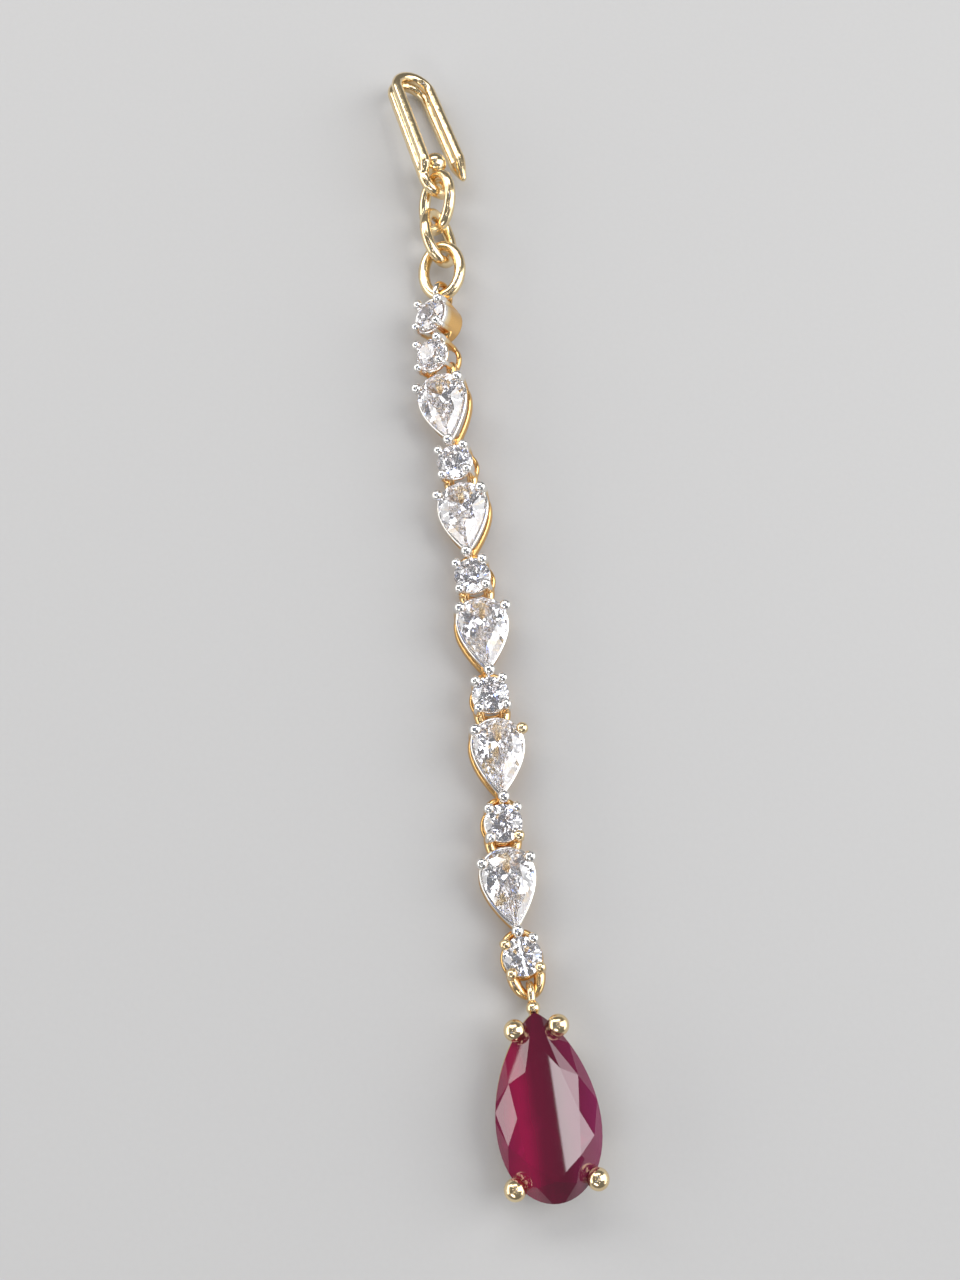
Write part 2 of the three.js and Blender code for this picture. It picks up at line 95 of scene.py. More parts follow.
# Loops between the units. A reach runs from the middle of a stone.
LOOP_PLAY = 0.2
BOW_WIRE = 0.62
SMALL_BOW_WIRE = 0.46
EYE_WIRE = 0.46
SMALL_EYE_WIRE = 0.42
HEAD_EYE_WIRE = 0.56
HEAD_EYE_PLAY = 0.2
BOW_SIDE_GROWTH = 0.5
BOW_SIDE_TAPER = 1.5
BOW_STEPS = 24
BOW_REACH = 2.75
SMALL_BOW_REACH = 1.88
PEAR_EYE_REACH = 2.1
PEAR_TIP_EYE_REACH = 3.2
ROUND_EYE_REACH = 1.76
HEAD_EYE_REACH = 2.72

# The drop: its basket, its stone's cut, its eye and its bead
DROP_GIRDLE_HEIGHT = 2.75
DROP_RAIL_WIRE = 0.7
DROP_FOOT_WIRE = 1.0
DROP_FOOT_SHARE = 0.62
DROP_FOOT_CUT = 0.3
DROP_RAIL_INSET = 0.35
DROP_RAIL_DROP = 0.7
DROP_CLAW_WIRE = 0.85
DROP_CLAW_BALL = 1.6
DROP_BALL_STRETCH = (1, 1, 0.92)
DROP_BALL_RISE = 0.5
DROP_BALL_OUT = 0.28
DROP_KNEE_OUT = 0.55
DROP_CLAWS = (37, 140, 220, 323)
DROP_TABLE = (0.6, 0.7)
MAIN_FACETS = 8
GIRDLE_STEPS = 64
STAR_SHARE = 0.83
KEEL_SHARE = 0.28
FLAT_ANGLE = 0.5
DROP_EYE_WIRE = 0.6
DROP_EYE_REACH = 1.25
DROP_BEAD = 1.05
DROP_BEAD_REACH = 0.35
DROP_BEAD_HEIGHT = 1.0

# Links, of which each stands on its side or leans on the next
LINK_WIDTH = 4.3
LINK_LENGTH = 5.8
LINK_WIRE = 1.0
LINK_PLAY = 0.44
LINK_TOP = 3.0

# Hair hook, with Y along its legs and its eye at the origin
HOOK_WIRE = 1.0
HOOK_SPACING = 3.4
HOOK_LEG = 10.0
HOOK_TIP_DROP = 0.2
HOOK_TIP_FLARE = 0.35
HOOK_TIP_TAPER = 2.2
HOOK_TIP_ROUND = 0.6
HOOK_STACK = 0.94
HOOK_EYE_PLAY = 0.26
HOOK_BALL = 2.0
HOOK_BALL_RISE = 1.9
HOOK_BALL_GAP = 0.1
HOOK_EYE_TWIST = 17
HOOK_END_RISE = 0.05
HOOK_MERGE = 1.1
HOOK_END_THIN = 0.25
HOOK_BALL_LIFT = 0.5
HOOK_STRAND_STEPS = 24
HOOK_STRAND_EASE = 1.5
HOOK_BEND_STEPS = 32
HOOK_LEG_STEPS = 12
HOOK_TIP_STEPS = 8
HOOK_CURL_STEPS = 40

# How a wire's end is rounded off, in degrees round its last quarter, and how round a ball is
WIRE_END_ANGLES = (25, 50, 70, 84)
BALL_SEGMENTS = 24
BALL_RINGS = 16

# Measures that follow from these, from the plane that holds the loops
RIM = GIRDLE_HEIGHT - AXIS_HEIGHT
FOOT = RAIL_WIRE / 2 - AXIS_HEIGHT
CLAW_SIDE = ROUND.width / 2 * sin(radians(OPEN_GAP))
DROP_AXIS = BOW_WIRE / 2 + LOOP_PLAY + DROP_EYE_WIRE
DROP_RIM = DROP_GIRDLE_HEIGHT - DROP_AXIS
HOOK_EYE = LINK_WIRE / 2 + HOOK_EYE_PLAY + HOOK_WIRE / 2

# How each station lies: kind, heading, roll, upper loop and lower loop
Station = namedtuple("Station", "kind heading roll upper lower")
STATIONS = (
    Station("round", -3, 36, "head", "small_bow"),
    Station("round", 5, 34, "hidden", "bow"),
    Station("pear", 11, 17, "pear_top", "pear_tip"),
    Station("round", 9, 14, "small_bow", "bow"),
    Station("pear", 7, 12, "pear_top", "pear_tip"),
    Station("round", 8, 9, "small_bow", "bow"),
    Station("pear", 6, -7, "pear_top", "pear_tip"),
    Station("round", 8, -2, "small_bow", "bow"),
    Station("pear", 4, -8, "pear_top", "pear_tip"),
    Station("round", 4, -4, "small_bow", "bow"),
    Station("pear", 9, -2, "pear_top", "pear_tip"),
    Station("round", 13, 0, "small_bow", "bow"),
)
DROP_HEADING = 7

# Name, heading and roll of each link, from the row up to the hook
LINKS = (("link_3", 2, 18), ("link_2", 9, -50), ("link_1", -4, 45))
HOOK_HEADING = 17
HOOK_ROLL = -28

# Claws whose plating has worn back to gold, by the side and the end of the stone where they stand
BARE_CLAWS = {
    "pear_setting_4": ((1, 1),),
    "round_setting_6": ((1, -1),),
    "round_setting_7": ((-1, 1), (-1, -1), (1, -1)),
}

# What is left of the plating there, and how far out and how high the worn corner starts
BARE_PLATING = 0.55
BARE_CORNER = 0.15
BARE_DEPTH = 0.1

# Heights over the loops between which the metal turns from deep gold to white plating
PLATED_SPAN = (-0.25, 1.6)
PLATED_SPANS = {"round_setting_1": (0.3, 1.55), "round_setting_2": (0.1, 1.5)}

# From the middle of a stone to the joint at each kind of loop
REACH = {
    "head": HEAD_EYE_REACH,
    "hidden": ROUND_EYE_REACH,
    "small_bow": SMALL_BOW_REACH,
    "bow": BOW_REACH,
    "pear_top": PEAR_EYE_REACH,
    "pear_tip": PEAR_TIP_EYE_REACH,
}


class TikkaFinish(bpy.types.PropertyGroup):
    """Colours and surface qualities of the metals and stones"""

    gold: FloatVectorProperty(
        name="Gold", description="Colour of the polished gold", subtype="COLOR",
        default=(0.90, 0.745, 0.47), min=0, max=1)
    # Deep gold also colours each plated basket low down, darker towards the bottom than the gold above
    deep_gold: FloatVectorProperty(
        name="Deep Gold", description="Colour of the gold where polish doesn't reach", subtype="COLOR",
        default=(0.80, 0.49, 0.19), min=0, max=1)
    white: FloatVectorProperty(
        name="White Plating", description="Colour of the plated claws and upper rails", subtype="COLOR",
        default=(0.86, 0.84, 0.81), min=0, max=1)
    clear: FloatVectorProperty(
        name="Clear Stone", description="Body colour of the clear stones", subtype="COLOR",
        default=(0.955, 0.95, 0.98), min=0, max=1)
    crimson: FloatVectorProperty(
        name="Crimson Stone", description="Body colour of the drop stone", subtype="COLOR",
        default=(0.33, 0.0, 0.05), min=0, max=1)
    polish: FloatProperty(
        name="Polish Roughness", description="Roughness of the polished metal", subtype="FACTOR",
        default=0.13, min=0, max=1)


class TikkaMesh(bpy.types.PropertyGroup):
    """How finely the metal is modelled"""

    wire_sides: IntProperty(
        name="Wire Sides", description="Sides of a wire's section", default=16, min=8, max=32)
    rail_steps: IntProperty(
        name="Rail Steps", description="Steps round a rail or a ring", default=64, min=16, max=128)
    cast_voxel: FloatProperty(
        name="Cast Detail", description="Cell size, in millimetres, at which soldered wires are fused",
        default=0.055, min=0.03, max=0.2)
    drop_voxel: FloatProperty(
        name="Drop Detail", description="Cell size, in millimetres, for the drop's basket and the hook",
        default=0.075, min=0.03, max=0.3)
    smoothing: IntProperty(
        name="Polish Passes", description="Smoothing passes over the fused metal", default=6, min=0, max=30)


class TikkaStage(bpy.types.PropertyGroup):
    """Floor, lights and camera"""

    floor: FloatVectorProperty(
        name="Floor", description="Colour of the table", subtype="COLOR",
        default=(0.52, 0.515, 0.505), min=0, max=1)
    key: FloatProperty(
        name="Key Light", description="Power of the large soft light", unit="POWER", default=0.9, min=0)
    sky: FloatProperty(
        name="Room Light", description="Strength of the even light of the room", default=0.2, min=0)
    spark: FloatProperty(
        name="Spark Lights", description="Power of each of the small lights that make the stones glitter",
        unit="POWER", default=0.012, min=0)
    strip: FloatProperty(
        name="Strip Light", description="Power of the narrow light that the drop's table mirrors",
        unit="POWER", default=0.0105, min=0)
    camera_height: FloatProperty(
        name="Camera Distance", description="From the camera to the middle of its view",
        unit="LENGTH", subtype="DISTANCE", default=0.1044, min=0.01)
    camera_tilt: FloatProperty(
        name="Camera Tilt", description="The view's lean from straight down",
        unit="ROTATION", subtype="ANGLE", default=radians(17.6), min=0, max=pi / 2)


# Places

def turned(heading, pitch, roll):
    """A unit's turn: its roll round the row, its pitch, then its heading on the table."""
    about_x = Matrix.Rotation(pitch, 4, "X")
    about_y = Matrix.Rotation(radians(-roll), 4, "Y")
    return Matrix.Rotation(radians(heading), 4, "Z") @ about_x @ about_y


def lying(joint, side, reach, far_reach, rise, heading, roll):
    """The frame of a unit that hangs on the row by one joint, and the place of its far joint."""
    turn = turned(heading, asin(rise / (reach + far_reach)), roll)
    line = turn.to_3x3() @ ALONG
    middle = joint - side * reach * line
    return Matrix.Translation(middle) @ turn, middle - side * far_reach * line


def rest_height(width, roll):
    """The height of a basket's loops when it lies rolled on the edge of its foot rail."""
    lean = radians(abs(roll))
    return AXIS_HEIGHT * cos(lean) + (width + RAIL_WIRE) / 2 * sin(lean)


def named_stations():
    """Each station with its name, numbered by kind from the hook's end down."""
    counts = {"round": 0, "pear": 0}
    for station in STATIONS:
        counts[station.kind] += 1
        yield f"{station.kind}_setting_{counts[station.kind]}", station


def walk_row():
    """The frame of every unit by its name, in millimetres, from the first joint down and up the row."""
    widths = {"round": ROUND.width, "pear": PEAR.width}
    rests = [rest_height(widths[s.kind], s.roll) for s in STATIONS] + [DROP_AXIS]
    heights = [rests[0]] + [max(a, b) for a, b in zip(rests, rests[1:])]
    frames = {}
    head = joint = Vector((0, 0, heights[0]))
    for (name, station), here, there in zip(named_stations(), heights, heights[1:]):
        reaches = REACH[station.upper], REACH[station.lower]
        frames[name], joint = lying(joint, 1, *reaches, here - there, station.heading, station.roll)
    half = DROP.length / 2
    frames["drop_setting"], _ = lying(joint, 1, half + DROP_EYE_REACH, half, 0, DROP_HEADING, 0)

    end = (LINK_LENGTH - LINK_WIRE) / 2
    share = end - (LINK_WIRE + LINK_PLAY) / 2
    leans = {name: roll for name, _, roll in LINKS}
    rest = (LINK_WIDTH - LINK_WIRE) / 2 * sin(radians(abs(leans["link_2"]))) + LINK_WIRE / 2
    spans = {"link_3": (end, share, rest), "link_2": (share, share, rest), "link_1": (share, end, LINK_TOP)}
    joint = head
    for name, heading, roll in LINKS:
        lower, upper, height = spans[name]
        frames[name], joint = lying(joint, -1, lower, upper, height - joint.z, heading, roll)
    lean = radians(abs(HOOK_ROLL))
    hook_rest = (HOOK_SPACING - HOOK_EYE) * sin(lean) + HOOK_STACK / 2 * cos(lean) + HOOK_WIRE / 2
    frames["hook"], _ = lying(joint, -1, 0, HOOK_LEG, hook_rest - joint.z, HOOK_HEADING, HOOK_ROLL)
    return frames


def row_frames():
    """Every unit's frame in metres, laid on the frame by the point under the drop stone."""
    frames = walk_row()
    keel = Vector((0, widest(DROP), DROP_RIM - DROP.girdle / 2 - DROP.pavilion))
    found = min((v.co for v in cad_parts["drop_stone"].data.vertices), key=lambda co: co.z)
    shift = Matrix.Translation(found / MM - frames["drop_setting"] @ keel)
    return {name: Matrix.Scale(MM, 4) @ shift @ placed for name, placed in frames.items()}


# Outlines and wires

def widest(stone):
    """Where along its length a stone is widest."""
    return -stone.length / 2 * stone.point / (2 + stone.point)


def outline(width, length, point, angle, z=0.0, facing=1):
    """A point of a stone's or ring's outline. Its tip lies at +Y, or at -Y with a facing of -1."""
    share = (1 + point) / (2 + point)
    peak = 2 * sqrt(share * (1 - share)) * share ** (point / 2)
    x = sin(angle) * abs(sin(angle / 2)) ** point / peak
    return Vector((facing * width / 2 * x, facing * length / 2 * cos(angle), z))


def rim_point(stone, out, angle, z, facing=-1):
    """A point at some distance out from a stone's rim."""
    return outline(stone.width + 2 * out, stone.length + 2 * out, stone.point, angle, z, facing)


def rim_path(stone, out, z, steps, facing=-1, start=0.0, end=2 * pi):
    """Points along a stone's outline. A whole turn leaves out its last point, which is its first."""
    whole = end - start > 2 * pi - 1e-6
    count = steps if whole else steps + 1
    return [rim_point(stone, out, start + (end - start) * k / steps, z, facing) for k in range(count)]


def wire(bm, path, radius, normal, closed=False, tall=1.0):
    """A wire: a circle of vertices, extruded from point to point of a path that lies in one plane.

    A tall wire is stretched along that plane's normal.
    """
    sides = bpy.context.scene.tikka_mesh.wire_sides
    radii = list(radius) if hasattr(radius, "__len__") else [radius] * len(path)
    rings = []
    last = len(path) - 1
    for i, point in enumerate(path):
        before = path[i - 1] if i or closed else point
        after = path[(i + 1) % len(path)] if i < last or closed else point
        ahead = (after - before).normalized()
        out = normal.cross(ahead).normalized()
        flat = ahead.cross(out)
        turn = Matrix((out, flat, ahead)).transposed().to_4x4()
        rings.append((point, turn, radii[i]))
    if not closed:
        rings = wire_end(rings[0], -1)[::-1] + rings + wire_end(rings[-1], 1)
    matrices = [Matrix.Translation(p) @ t @ Matrix.Diagonal((r, r * tall, r, 1)) for p, t, r in rings]
    verts = bmesh.ops.create_circle(bm, segments=sides, radius=1, matrix=matrices[0])["verts"]
    first = edges = list({e for v in verts for e in v.link_edges})
    for was, now in zip(matrices, matrices[1:]):
        made = bmesh.ops.extrude_edge_only(bm, edges=edges)["geom"]
        verts = [g for g in made if isinstance(g, bmesh.types.BMVert)]
        fresh = set(verts)
        edges = [g for g in made if isinstance(g, bmesh.types.BMEdge) and fresh.issuperset(g.verts)]
        bmesh.ops.transform(bm, matrix=now @ was.inverted(), verts=verts)
    if closed:
        bmesh.ops.bridge_loops(bm, edges=first + edges)
    else:
        bmesh.ops.contextual_create(bm, geom=first)
        bmesh.ops.contextual_create(bm, geom=edges)


def wire_end(ring, side):
    """The rings that round off a wire's end, from its last full one outwards."""
    point, turn, radius = ring
    ahead = turn.to_3x3() @ UP
    angles = [radians(a) for a in WIRE_END_ANGLES]
    return [(point + side * sin(a) * radius * ahead, turn, cos(a) * radius) for a in angles]


def ball(bm, place, diameter, stretch=(1, 1, 1)):
    """A drop of solder or a claw's end, round or a little flattened."""
    shape = Matrix.Translation(place) @ Matrix.Diagonal((*stretch, 1))
    bmesh.ops.create_uvsphere(
        bm, u_segments=BALL_SEGMENTS, v_segments=BALL_RINGS, radius=diameter / 2, matrix=shape)


def ring_path(hole_radius, wire_size, middle, steps):
    """The middle line of an upright ring's wire."""
    radius = hole_radius + wire_size / 2
    angles = [2 * pi * k / steps for k in range(steps)]
    return [middle + radius * Vector((0, cos(a), sin(a))) for a in angles]


def eased(share):
    """A smooth rise from 0 to 1."""
    share = min(max(share, 0), 1)
    return share * share * (3 - 2 * share)


def arc(middle, radius, start, end, steps):
    """Points along a part of a circle that lies flat."""
    angles = [start + (end - start) * k / steps for k in range(steps + 1)]
    return [middle + radius * Vector((cos(a), sin(a), 0)) for a in angles]


def fused(bm, voxel, smoothing):
    """The soldered wires as one skin, with a small fillet in each corner."""
    bmesh.ops.recalc_face_normals(bm, faces=bm.faces)
    loose = bpy.data.meshes.new("loose")
    bm.to_mesh(loose)
    bm.free()
    shape = bpy.data.objects.new("loose", loose)
    bpy.context.scene.collection.objects.link(shape)
    weld = shape.modifiers.new("Weld", "REMESH")
    weld.mode = "VOXEL"
    weld.voxel_size = voxel
    polish = shape.modifiers.new("Polish", "SMOOTH")
    polish.factor = 0.5
    polish.iterations = smoothing
    graph = bpy.context.evaluated_depsgraph_get()
    mesh = bpy.data.meshes.new_from_object(shape.evaluated_get(graph))
    bpy.data.objects.remove(shape)
    bpy.data.meshes.remove(loose)
    return mesh


def finished(name, mesh, placing, material, slot, *nodes):
    """A piece in its place, smooth shaded, standing for its node of the frame."""
    mesh.name = name
    mesh.transform(placing)
    mesh.shade_smooth()
    mesh.materials.clear()
    mesh.materials.append(material)
    piece = bpy.data.objects.new(name, mesh)
    bpy.context.scene.collection.objects.link(piece)
    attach(piece, "root")
    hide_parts(*nodes)
    return piece


# Settings of the small stones

def claw(bm, kind, stone, angle):
    """One claw: a post from the foot rail past the rim, bent in to a ball that holds the stone's edge."""
    turn = radians(angle)
    at_tip = kind == "pear" and angle == 0
    foot = rim_point(stone, -FOOT_INSET, turn, FOOT)
    stand_off, shoulder_share = CLAW_STAND_OFF, CLAW_SHOULDER
    if at_tip:
        foot.y += TIP_CLAW_LEAN
        stand_off, shoulder_share = TIP_CLAW_OUT, TIP_CLAW_SHOULDER
    shoulder_z = RIM + CLAW_SHOULDER_RISE
    shoulder = rim_point(stone, stand_off * shoulder_share, turn, shoulder_z)
    tip = rim_point(stone, stand_off - CLAW_STAND_OFF + CLAW_TIP_OUT, turn, RIM + CLAW_RISE)
    outwards = (shoulder - rim_point(stone, 0, turn, shoulder_z)).normalized()
    elbow = shoulder.lerp(tip, CLAW_ELBOW) + CLAW_ELBOW_OUT * outwards
    path = [foot, foot.lerp(shoulder, 0.5), shoulder, elbow, tip]
    wire(bm, path, [CLAW_WIRE / 2 * swell for swell in CLAW_SWELL], outwards.cross(UP))
    ball(bm, tip, CLAW_BALL[kind], CLAW_BALL_STRETCH)


def basket(bm, kind, stone, claws, is_open):
    """An upper rail, a foot rail and the claws. An open foot rail leaves room for a bow."""
    steps = bpy.context.scene.tikka_mesh.rail_steps
    radius = RAIL_WIRE / 2
    inset = ROUND_RAIL_INSET if kind == "round" else 0
    wire(bm, rim_path(stone, -inset, RIM - UPPER_RAIL_DROP, steps), radius, UP, closed=True)
    tall = FOOT_TALL[kind]
    foot = FOOT + (tall - 1) * radius
    if is_open:
        gap = radians(OPEN_GAP)
        foot_line = rim_path(stone, -FOOT_INSET, foot, steps, start=pi + gap, end=3 * pi - gap)
        wire(bm, foot_line, radius, UP, tall=tall)
    else:
        wire(bm, rim_path(stone, -FOOT_INSET, foot, steps), radius, UP, closed=True, tall=tall)
    if kind == "pear":
        post = [rim_point(stone, -FOOT_INSET, pi, FOOT), rim_point(stone, 0, pi, RIM - UPPER_RAIL_DROP)]
        wire(bm, post, radius, ACROSS)
    for angle in claws:
        claw(bm, kind, stone, angle)


def bow(bm, wire_size, reach, side):
    """An open loop in the row's plane, stouter where it meets the basket."""
    path, radii = [], []
    for k in range(BOW_STEPS + 1):
        angle = pi * k / BOW_STEPS
        x = CLAW_SIDE * cos(angle)
        y = CLAW_SIDE + (reach - CLAW_SIDE) * sin(angle)
        path.append(side * Vector((x, y, 0)))
        radii.append(wire_size / 2 * (1 + BOW_SIDE_GROWTH * abs(cos(angle)) ** BOW_SIDE_TAPER))
    wire(bm, path, radii, UP)


def upright_eye(bm, wire_size, hole_radius, y):
    """A round eye that stands on edge in the row's line."""
    steps = bpy.context.scene.tikka_mesh.rail_steps // 2
    middle = Vector((0, y, 0))
    wire(bm, ring_path(hole_radius, wire_size, middle, steps), wire_size / 2, ACROSS, closed=True)


def add_loop(bm, loop, side):
    """The loop at one end of a station, where its neighbour hangs."""
    y = side * REACH[loop]
    if loop == "small_bow":
        bow(bm, SMALL_BOW_WIRE, SMALL_BOW_REACH, side)
    elif loop == "bow":
        bow(bm, BOW_WIRE, BOW_REACH, side)
    elif loop == "head":
        upright_eye(bm, HEAD_EYE_WIRE, LINK_WIRE / 2 + HEAD_EYE_PLAY, y)
    elif loop == "pear_top":
        upright_eye(bm, EYE_WIRE, BOW_WIRE / 2 + LOOP_PLAY, y)
    else:
        upright_eye(bm, SMALL_EYE_WIRE, SMALL_BOW_WIRE / 2 + LOOP_PLAY, y)


def collar(bm):
    """The solid wall of the first station: a section, spun once round."""
    outer = ROUND.width / 2 + RAIL_WIRE / 2
    inner = outer - HEAD_WALL
    lip = ROUND.width / 2 + COLLAR_LIP_GAP
    corners = [
        (inner, -AXIS_HEIGHT),
        (outer, -AXIS_HEIGHT),
        (outer, RIM - COLLAR_LIP_DROP),
        (lip, RIM - COLLAR_LIP_DROP),
        (inner, RIM - COLLAR_SEAT_DROP),
    ]
    verts = [bm.verts.new((x, 0, z)) for x, z in corners]
    edges = [bm.edges.new((a, b)) for a, b in zip(verts, verts[1:] + verts[:1])]
    bmesh.ops.spin(
        bm, geom=verts + edges, cent=(0, 0, 0), axis=UP, angle=2 * pi,
        steps=bpy.context.scene.tikka_mesh.rail_steps, use_merge=True)


def store_plating(mesh, kind, bare, span):
    """Writes how much white plating covers each vertex: the claws and the upper rail have it."""
    low, high = span
    layer = mesh.attributes.new("plating", "FLOAT", "POINT")
    corner = BARE_CORNER * (ROUND if kind == "round" else PEAR).width
    values = []
    for vertex in mesh.vertices:
        co = vertex.co
        share = min(max((co.z - low) / (high - low), 0), 1)
        for side, end in bare:
            if co.x * side > corner and co.y * end > corner and co.z > RIM - BARE_DEPTH:
                share = BARE_PLATING
        values.append(share)
    layer.data.foreach_set("value", values)


def station_mesh(station):
    """A station's basket and its two loops, fused."""
    bm = bmesh.new()
    stone = ROUND if station.kind == "round" else PEAR
    claws = ROUND_CLAWS if station.kind == "round" else PEAR_CLAWS
    is_open = station.kind == "round" and station.upper == "small_bow"
    basket(bm, station.kind, stone, claws, is_open)
    if station.upper == "head":
        collar(bm)
    add_loop(bm, station.upper, 1)
    add_loop(bm, station.lower, -1)
    sizes = bpy.context.scene.tikka_mesh
    return fused(bm, sizes.cast_voxel, sizes.smoothing)


class TIKKA_OT_settings(bpy.types.Operator):
    """Build the claw settings of the small stones"""

    bl_idname = "tikka.settings"
    bl_label = "Small Settings"

    def execute(self, context):
        frames = row_frames()
        metal = two_tone_metal(context.scene.tikka_finish)
        made = {}
        for name, station in named_stations():
            form = station.kind, station.upper, station.lower
            if form not in made:
                made[form] = station_mesh(station)
            mesh = made[form].copy()
            store_plating(mesh, station.kind, BARE_CLAWS.get(name, ()), PLATED_SPANS.get(name, PLATED_SPAN))
            finished(f"cast_{name}", mesh, frames[name], metal, "two_tone_metal", name)
        return {"FINISHED"}


# Drop

def drop_mesh():
    """The basket of the drop, cut flat where it lies on the table."""
    bm = bmesh.new()
    foot_z = DROP_FOOT_WIRE / 2 - DROP_FOOT_CUT - DROP_AXIS
    steps = bpy.context.scene.tikka_mesh.rail_steps
    foot_stone = DROP._replace(width=DROP.width * DROP_FOOT_SHARE, length=DROP.length * DROP_FOOT_SHARE)
    wire(bm, rim_path(foot_stone, 0, foot_z, steps, facing=1), DROP_FOOT_WIRE / 2, UP, closed=True)
    upper = rim_path(DROP, -DROP_RAIL_INSET, DROP_RIM - DROP_RAIL_DROP, steps, facing=1)
    wire(bm, upper, DROP_RAIL_WIRE / 2, UP, closed=True)
    tip = DROP.length / 2
    upright_eye(bm, DROP_EYE_WIRE, BOW_WIRE / 2 + LOOP_PLAY, tip + DROP_EYE_REACH)
    ball(bm, Vector((0, tip + DROP_BEAD_REACH, DROP_BEAD_HEIGHT)), DROP_BEAD)
    for angle in DROP_CLAWS:
        turn = radians(angle)
        foot = rim_point(foot_stone, 0, turn, foot_z, 1)
        knee = rim_point(DROP, DROP_KNEE_OUT, turn, DROP_RIM, 1)
        crown = rim_point(DROP, DROP_BALL_OUT, turn, DROP_RIM + DROP_BALL_RISE, 1)
        outwards = (knee - rim_point(DROP, 0, turn, DROP_RIM, 1)).normalized()
        wire(bm, [foot, foot.lerp(knee, 0.5), knee, crown], DROP_CLAW_WIRE / 2, outwards.cross(UP))
        ball(bm, crown, DROP_CLAW_BALL, DROP_BALL_STRETCH)
    cut = bmesh.ops.bisect_plane(
        bm, geom=bm.verts[:] + bm.edges[:] + bm.faces[:], plane_co=(0, 0, -DROP_AXIS),
        plane_no=(0, 0, -1), clear_outer=True)["geom_cut"]
    rims = [g for g in cut if isinstance(g, bmesh.types.BMEdge)]
    bmesh.ops.edgeloop_fill(bm, edges=rims)
    sizes = bpy.context.scene.tikka_mesh
    return fused(bm, sizes.drop_voxel, sizes.smoothing)


class TIKKA_OT_drop(bpy.types.Operator):
    """Build the gold basket of the drop"""

    bl_idname = "tikka.drop"
    bl_label = "Drop Setting"

    def execute(self, context):
        metal = gold_metal(context.scene.tikka_finish)
        placing = row_frames()["drop_setting"]
        finished("cast_drop_setting", drop_mesh(), placing, metal, "gold_metal", "drop_setting")
        return {"FINISHED"}


# Links and hook

class TIKKA_OT_links(bpy.types.Operator):
    """Build the three oval links"""

    bl_idname = "tikka.links"
    bl_label = "Oval Links"

    def execute(self, context):
        frames = row_frames()
        metal = gold_metal(context.scene.tikka_finish)
        steps = context.scene.tikka_mesh.rail_steps * 2
        width = LINK_WIDTH - LINK_WIRE
        length = LINK_LENGTH - LINK_WIRE
        path = [outline(width, length, 0, 2 * pi * k / steps) for k in range(steps)]
        for name, _, _ in LINKS:
            bm = bmesh.new()
            wire(bm, path, LINK_WIRE / 2, UP, closed=True)
            bmesh.ops.recalc_face_normals(bm, faces=bm.faces)
            mesh = bpy.data.meshes.new(name)
            bm.to_mesh(mesh)
            bm.free()
            finished(f"gold_{name}", mesh, frames[name], metal, "gold_metal", name)
        return {"FINISHED"}


def hook_mesh():
    """Two strands laid on each other in a narrow bend, from a point to an eye and a ball."""
    bm = bmesh.new()
    bend = HOOK_SPACING / 2
    middle_x = bend - HOOK_EYE
    open_x = middle_x + bend
    level = HOOK_STACK / 2
    radius = HOOK_WIRE / 2
    end = Vector((open_x + HOOK_TIP_FLARE, HOOK_TIP_TAPER - HOOK_TIP_DROP, 0))
    tip = Vector((end.x, HOOK_TIP_ROUND / 2 - HOOK_TIP_DROP, 0))
    bend_path = arc(Vector((middle_x, HOOK_LEG, 0)), bend, pi, 0, HOOK_BEND_STEPS)
    top = Vector((open_x, HOOK_LEG, 0))
    leg = [top + (end - top) * k / HOOK_LEG_STEPS for k in range(1, HOOK_LEG_STEPS + 1)]
    tip_shares = [k / HOOK_TIP_STEPS for k in range(1, HOOK_TIP_STEPS + 1)]
    climb_shares = [(k / HOOK_STRAND_STEPS) ** HOOK_STRAND_EASE for k in range(HOOK_STRAND_STEPS)]
    for side, start in ((1, HOOK_END_RISE), (-1, 0)):
        stack = side * level * UP
        climb = [Vector((-HOOK_EYE, start + (HOOK_LEG - start) * share, 0)) for share in climb_shares]
        strand = climb + bend_path + leg
        path = [p + stack for p in strand]
        path += [end.lerp(tip, share) + stack * (1 - share) for share in tip_shares]
        radii = [radius] * len(strand)
        radii += [radius + (HOOK_TIP_ROUND / 2 - radius) * share**2 for share in tip_shares]
        if side > 0:
            for k, point in enumerate(climb):
                sunk = eased(1 - (point.y - start) / HOOK_MERGE)
                path[k] -= 2 * sunk * stack
                radii[k] = radius * (1 - HOOK_END_THIN * sunk)
        wire(bm, path, radii, UP)
    ball_x = radius + HOOK_BALL_GAP + HOOK_BALL / 2 - HOOK_EYE
    ball_turn = atan2(HOOK_BALL_RISE, ball_x)
    leaving = ball_turn - acos(HOOK_EYE / hypot(ball_x, HOOK_BALL_RISE))
    curl = [Vector((ball_x, HOOK_BALL_RISE, 0))]
    curl += arc(Vector(), HOOK_EYE, leaving, -pi, HOOK_CURL_STEPS)
    hinge = Vector((-HOOK_EYE, 0, 0))
    twist = Matrix.Translation(hinge - level * UP) @ Matrix.Rotation(radians(HOOK_EYE_TWIST), 4, "Y")
    twist = twist @ Matrix.Translation(-hinge)
    wire(bm, [twist @ p for p in curl], radius, twist.to_3x3() @ UP)
    knob = twist @ Vector((ball_x + radius / 3, HOOK_BALL_RISE, 0)) + HOOK_BALL_LIFT * UP
    ball(bm, knob, HOOK_BALL)
    sizes = bpy.context.scene.tikka_mesh
    return fused(bm, sizes.drop_voxel, sizes.smoothing // 2)


class TIKKA_OT_hook(bpy.types.Operator):
    """Build the double-strand hair hook"""

    bl_idname = "tikka.hook"
    bl_label = "Hair Hook"

    def execute(self, context):
        metal = gold_metal(context.scene.tikka_finish)
        finished("gold_hook", hook_mesh(), row_frames()["hook"], metal, "gold_metal", "hook")
        return {"FINISHED"}


# Stones

